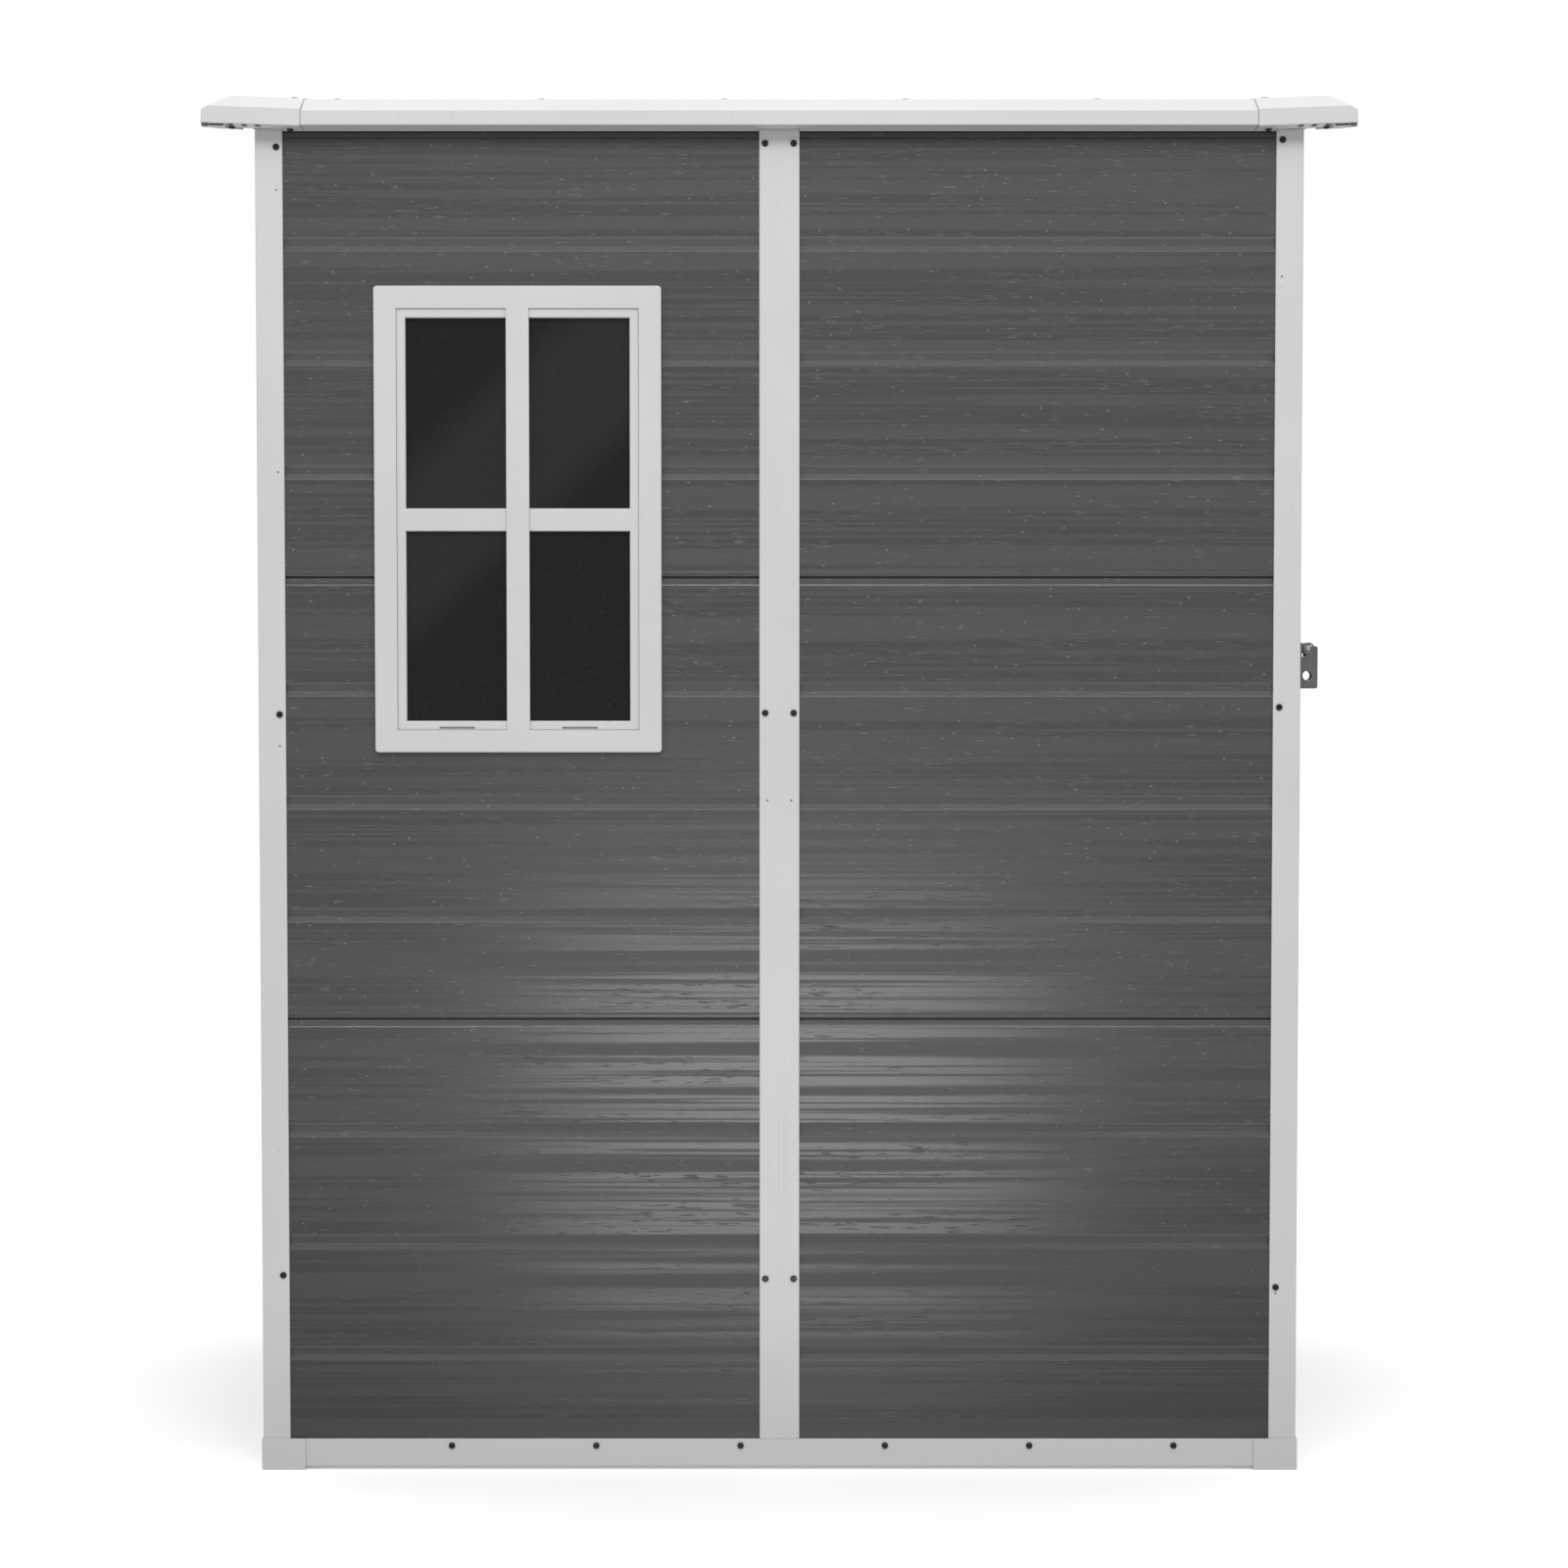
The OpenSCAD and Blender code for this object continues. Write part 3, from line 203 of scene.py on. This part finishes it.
def grained_plastic(name, level, gloss, matt, courses=None):
    """Dark moulded panel plastic: glossy bands on matt, fine level grain, short dents and specks, painted
    glints along the grain, painted highlights on edges and down-facing lips, painted shade in corners,
    under the eave and low down.
    """
    g = Graph(name)
    waves = g.noise([0.2, 0.2, 26], detail=1)
    bands = g.remap(g.noise([0.2, 0.2, 24], detail=2), 0.42, 0.5)
    lines = g.remap(g.noise([1.6, 1.6, 210], detail=2), 0.36, 0.52, 0.15, 1.0)
    ripples = g.noise([3, 3, 120], detail=2, roughness=0.6)
    grain = g.noise([9, 9, 480], detail=3, roughness=0.6)
    dents = g.remap(g.noise([34, 34, 330], detail=2, distortion=0.3), 0.60, 0.68)
    dent_zones = g.remap(g.noise([2.2, 2.2, 16], detail=2), 0.42, 0.6)
    dents = g.math("MULTIPLY", dents, dent_zones)
    # short bright dashes along the grain, used as painted glints
    grain_glints = g.remap(g.noise([48, 48, 480], detail=2, distortion=0.3), 0.66, 0.72)
    specks = g.remap(g.cells([42, 42, 60]), 0.05, 0.09, 1.0, 0.0)
    mottle = g.noise([2.5, 2.5, 6], detail=4)
    tone = g.mix(g.remap(mottle, 0.3, 0.7), grey(level * 0.94, 0.01), grey(level * 1.04, 0.01))
    tone = g.mix(g.remap(grain, 0.3, 0.75), tone, grey(level * 1.12, 0.01))
    tone = g.mix(g.math("MULTIPLY", dents, 0.3), tone, grey(level * 0.6))
    # painted glints: short bright dashes along the grain
    tone = g.mix(g.math("MULTIPLY", grain_glints, 0.6), tone, grey(level * 2.8))
    tone = g.mix(g.math("MULTIPLY", specks, 0.5), tone, grey(level * 4.5))
    # painted highlight: lighter along sharp edges
    tone = g.mix(g.math("MULTIPLY", g.edges(1 * MM), 0.8), tone, grey(level * 2.0))
    # painted shade: darker in corners and under the eave
    tone = g.mix(g.remap(g.corners(45 * MM), 0.3, 0.66), grey(level * 0.45), tone)
    # painted shade: darker towards the ground
    painted_low_shade = g.math("ADD", g.height(), g.math("MULTIPLY", mottle, 0.08))
    colour = g.mix(g.remap(painted_low_shade, 0.0, 0.7), grey(level * 0.68, 0.01), tone)
    shine = g.math("MULTIPLY", bands, lines)
    if courses:
        shine = g.math("MULTIPLY", shine, off_grooves(g, *courses))
        # painted reflection: faces that look down are lightened
        colour = g.mix(g.math("MULTIPLY", g.facing_down(), 0.9), colour, grey(level * 2.6))
    shine = g.math("MULTIPLY", shine, g.math("SUBTRACT", 1.0, dents))
    surface = g.bump(waves, 1.0 * MM, g.rounded(1 * MM))
    surface = g.bump(ripples, 0.06 * MM, surface)
    surface = g.bump(grain, 0.012 * MM, surface)
    surface = g.bump(dents, -0.15 * MM, surface)
    surface = g.bump(specks, 0.3 * MM, surface)
    return g.set(
        Base_Color=colour,
        Roughness=g.remap(shine, 0.0, 1.0, matt, gloss, smooth=False),
        Normal=surface,
        Specular_IOR_Level=0.5,
    )


def tinted_pane(name, middle):
    """Dark tinted acrylic with one soft slanting band of painted reflection above its middle, and a
    little dust.
    """
    g = Graph(name)
    slant = math.radians(43)
    band_above = 72 * MM            # from the window's middle to the band's centre line, square to it
    band_half = 55 * MM             # half the band's full-strength width
    band_fade = 120 * MM            # from its centre line to where it has gone
    direction = Vector((-math.sin(slant), 0, math.cos(slant)))
    across = g.add("ShaderNodeVectorMath", operation="DOT_PRODUCT")
    g.feed(across.inputs[0], g.place)
    g.feed(across.inputs[1], direction)
    from_band = g.math("SUBTRACT", across.outputs["Value"], direction.dot(middle) + band_above)
    from_band = g.math("ABSOLUTE", from_band, 0.0)
    painted_reflection = g.remap(from_band, band_half, band_fade, 1.0, 0.0)
    dust = g.remap(g.noise([180, 180, 180], detail=4), 0.55, 0.85)
    # painted reflection: the tint is lighter inside the slanting band
    tone = g.mix(painted_reflection, grey(0.010), grey(0.022))
    return g.set(
        Base_Color=g.mix(g.math("MULTIPLY", dust, 0.25), tone, grey(0.05)),
        Roughness=g.remap(dust, 0.0, 1.0, 0.1, 0.28),
        Specular_IOR_Level=0.3,
        Normal=g.bump(g.noise([3, 3, 3], detail=1), 0.3 * MM),
    )


def metal(name, level, roughness, along):
    """Brushed metal, its brush marks along one axis, painted highlights on its edges and painted shade in
    its corners.
    """
    g = Graph(name)
    across = [1400, 1400, 1400]
    across["XYZ".index(along)] = 25
    brush = g.noise(across, detail=3)
    cloud = g.noise([60, 60, 60], detail=3)
    tone = g.mix(g.remap(cloud, 0.3, 0.7), grey(level * 0.86, 0.02), grey(level, 0.015))
    # painted shade: darker in corners and crevices
    tone = g.mix(g.remap(g.corners(3 * MM), 0.0, 0.8), grey(level * 0.5, 0.03), tone)
    return g.set(
        # painted highlight: lighter along sharp edges
        Base_Color=g.mix(g.math("MULTIPLY", g.edges(0.8 * MM), 0.8), tone, grey(0.85, 0.01)),
        Metallic=1.0,
        Roughness=g.remap(brush, 0.3, 0.7, roughness, roughness + 0.14),
        Normal=g.bump(brush, 0.01 * MM, g.rounded(0.8 * MM)),
    )


def zinc(name):
    """Galvanised steel with its spangle."""
    g = Graph(name)
    inputs = {"Vector": g.stretched([140, 140, 140]), "Scale": 1.0}
    spangle = g.add("ShaderNodeTexVoronoi", inputs).outputs["Color"]
    flake = g.add("ShaderNodeSeparateColor", {"Color": spangle}).outputs["Red"]
    return g.set(
        Base_Color=g.mix(flake, grey(0.42, -0.01), grey(0.58, -0.01)),
        Metallic=0.9,
        Roughness=g.remap(flake, 0.0, 1.0, 0.38, 0.55, smooth=False),
        Normal=g.rounded(1 * MM),
    )


def coated(name, level, worn_level):
    """Coated screw heads, worn a little on their high spots and edges."""
    g = Graph(name)
    worn = g.remap(g.noise([900, 900, 900], detail=3), 0.55, 0.75)
    worn = g.math("MAXIMUM", worn, g.math("MULTIPLY", g.edges(0.3 * MM), 0.8))
    return g.set(
        Base_Color=g.mix(worn, grey(level), grey(worn_level)),
        Roughness=g.remap(worn, 0.0, 1.0, 0.3, 0.5),
        Normal=g.bump(g.noise([2500, 2500, 2500]), 0.01 * MM, g.rounded(0.3 * MM)),
        Metallic=0.3,
    )


def studio_floor(name):
    """Pale seamless floor with the least unevenness."""
    g = Graph(name)
    cloud = g.noise([1.5, 1.5, 1.5], detail=3)
    return g.set(
        Base_Color=g.mix(g.remap(cloud, 0.3, 0.7), grey(0.86), grey(0.88)),
        Roughness=0.8,
        Emission_Color=grey(1.0),
        Emission_Strength=0.2,
    )


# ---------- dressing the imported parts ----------


def dress(node, material):
    """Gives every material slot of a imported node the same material."""
    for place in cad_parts[node].material_slots:
        place.material = material


def starting(*starts):
    """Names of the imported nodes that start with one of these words."""
    return [n for n in sorted(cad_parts) if n.startswith(starts)]


upright = white_plastic("white_plastic_upright", WHITE_LEVEL, "Z")
lengthwise = white_plastic("white_plastic_lengthwise", WHITE_LEVEL, "X")
crosswise = white_plastic("white_plastic_crosswise", WHITE_LEVEL, "Y")
course_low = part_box("window_bay_panel_lower")[0].z
course_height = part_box("window_bay_panel_middle")[0].z - course_low
wall_courses = (course_low, course_height)
wall = grained_plastic("grained_plastic_wall", PANEL_LEVEL, PANEL_GLOSS, PANEL_MATT, wall_courses)
door = grained_plastic("grained_plastic_door", PANEL_LEVEL, PANEL_GLOSS, PANEL_MATT)
roof = grained_plastic("grained_plastic_roof", level=0.062, gloss=0.3, matt=0.6)
ground = grained_plastic("grained_plastic_floor", level=0.08, gloss=0.45, matt=0.6)
panes_low, panes_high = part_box("window_panes")
pane = tinted_pane("tinted_pane_plastic", (panes_low + panes_high) / 2)
steel = metal("brushed_steel", level=0.21, roughness=0.3, along="Z")
pin_steel = metal("drawn_steel", level=0.6, roughness=0.22, along="Y")
black = coated("blackened_screws", level=0.012, worn_level=0.04)
enamel = coated("white_enamel_screws", level=0.5, worn_level=0.42)
tube = zinc("zinc_spangle")

MATERIALS = [
    (upright, starting("corner_post", "centre_post", "door_hinge_stile", "door_latch_stile")),
    (lengthwise, starting(
        "base_rail_window", "base_rail_plain", "base_cap", "top_rail", "eave_trim",
        "roof_cap", "ridge_cap", "window_frame", "window_sash", "window_inner")),
    (crosswise, starting(
        "base_rail_rear", "door_sill", "door_header", "gable_rail", "barge_trims", "door_rails")),
    (wall, starting("window_bay_panel", "door_bay_panel", "plain_side_panels", "rear_end_panels")),
    (door, starting("door_panels", "gable_panel")),
    (roof, starting("roof_panels")),
    (ground, starting("floor_panel")),
    (pane, starting("window_panes")),
    (steel, starting(
        "hinge_frame", "hinge_door", "bolt_guide", "bolt_keeper", "bolt_flag", "hardware_screws")),
    (pin_steel, ["bolt_rod", "hinge_pins"]),
    (black, ["frame_screws"]),
    (enamel, ["roof_screws"]),
    (tube, ["ridge_beam"]),
]

for material, nodes in MATERIALS:
    for node in nodes:
        dress(node, material)


# ---------- studio ----------


def add_floor():
    """A pale floor under the shed."""
    reach = 14                      # metres from the middle to each edge
    mesh = bpy.data.meshes.new("studio_floor")
    corners = [(-reach, -reach, 0), (reach, -reach, 0), (reach, reach, 0), (-reach, reach, 0)]
    mesh.from_pydata(corners, [], [(0, 1, 2, 3)])
    mesh.materials.append(studio_floor("studio_floor"))
    floor = bpy.data.objects.new("studio_floor", mesh)
    floor.location.z = cad_low.z
    floor.visible_diffuse = False
    floor.visible_glossy = False
    bpy.context.scene.collection.objects.link(floor)


def add_light(name, place, target, width, height, watts, gloss_only=False):
    """A soft box at a place, facing a target."""
    data = bpy.data.lights.new(name, "AREA")
    data.shape = "RECTANGLE"
    data.size = width
    data.size_y = height
    data.energy = watts
    light = bpy.data.objects.new(name, data)
    light.location = place
    light.rotation_euler = (Vector(target) - Vector(place)).to_track_quat("-Z", "Y").to_euler()
    light.visible_camera = False
    light.visible_diffuse = not gloss_only
    bpy.context.scene.collection.objects.link(light)


def add_world(seen, horizon, overhead, ground):
    """A room the camera sees as plain white. Its light is dim at the horizon and bright overhead."""
    world = bpy.data.worlds.new("studio")
    world.use_nodes = True
    nodes = world.node_tree.nodes
    link = world.node_tree.links.new
    direction = nodes.new("ShaderNodeSeparateXYZ")
    link(nodes.new("ShaderNodeTexCoord").outputs["Generated"], direction.inputs["Vector"])

    def band(from_z, to_z, level):
        ramp = nodes.new("ShaderNodeMapRange")
        ramp.interpolation_type = "SMOOTHSTEP"
        limits = {"From Min": from_z, "From Max": to_z, "To Min": horizon, "To Max": level}
        for name, value in limits.items():
            ramp.inputs[name].default_value = value
        link(direction.outputs["Z"], ramp.inputs["Value"])
        return ramp.outputs["Result"]

    glow = nodes.new("ShaderNodeMath")
    glow.operation = "MAXIMUM"
    link(band(from_z=0.1, to_z=0.75, level=overhead), glow.inputs[0])
    link(band(from_z=-0.05, to_z=-0.6, level=ground), glow.inputs[1])
    strength = nodes.new("ShaderNodeMix")
    link(nodes.new("ShaderNodeLightPath").outputs["Is Camera Ray"], strength.inputs["Factor"])
    link(glow.outputs["Value"], strength.inputs["A"])
    strength.inputs["B"].default_value = seen
    background = nodes["Background"]
    background.inputs["Color"].default_value = (1, 1, 1, 1)
    link(strength.outputs["Result"], background.inputs["Strength"])
    bpy.context.scene.world = world


def add_camera():
    """A long lens square on to the window side, a little above the middle and tipped down."""
    post_low, post_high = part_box("centre_post_window_side")
    distance = 4.2
    height = 1.128
    aside = 0.0064                  # a little to the door's side of the centre post
    tip_down = math.radians(2.235)
    data = bpy.data.cameras.new("camera")
    data.sensor_width = 36
    data.lens = 69.27
    camera = bpy.data.objects.new("camera", data)
    middle_x = (post_low.x + post_high.x) / 2
    camera.location = (middle_x + aside, post_low.y - distance, height)
    camera.rotation_euler = (math.radians(90) - tip_down, 0, 0)
    bpy.context.scene.collection.objects.link(camera)
    bpy.context.scene.camera = camera


face_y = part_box("centre_post_window_side")[0].y
mid_z = (cad_low.z + cad_high.z) / 2

add_floor()
add_world(seen=1.0, horizon=0.42, overhead=1.2, ground=0.8)
low_light = (0, face_y - 1.8, 0.25)
low_target = (0, face_y, low_light[2])
high_light = (0, face_y - 3.5, 4.2)
high_target = (0, face_y, mid_z)
add_light("front_low", low_light, low_target, width=0.9, height=0.75, watts=12, gloss_only=True)
add_light("front_high", high_light, high_target, width=3.5, height=1.5, watts=84)
add_camera()

scene = bpy.context.scene
scene.view_settings.view_transform = "Standard"
scene.view_settings.look = "None"
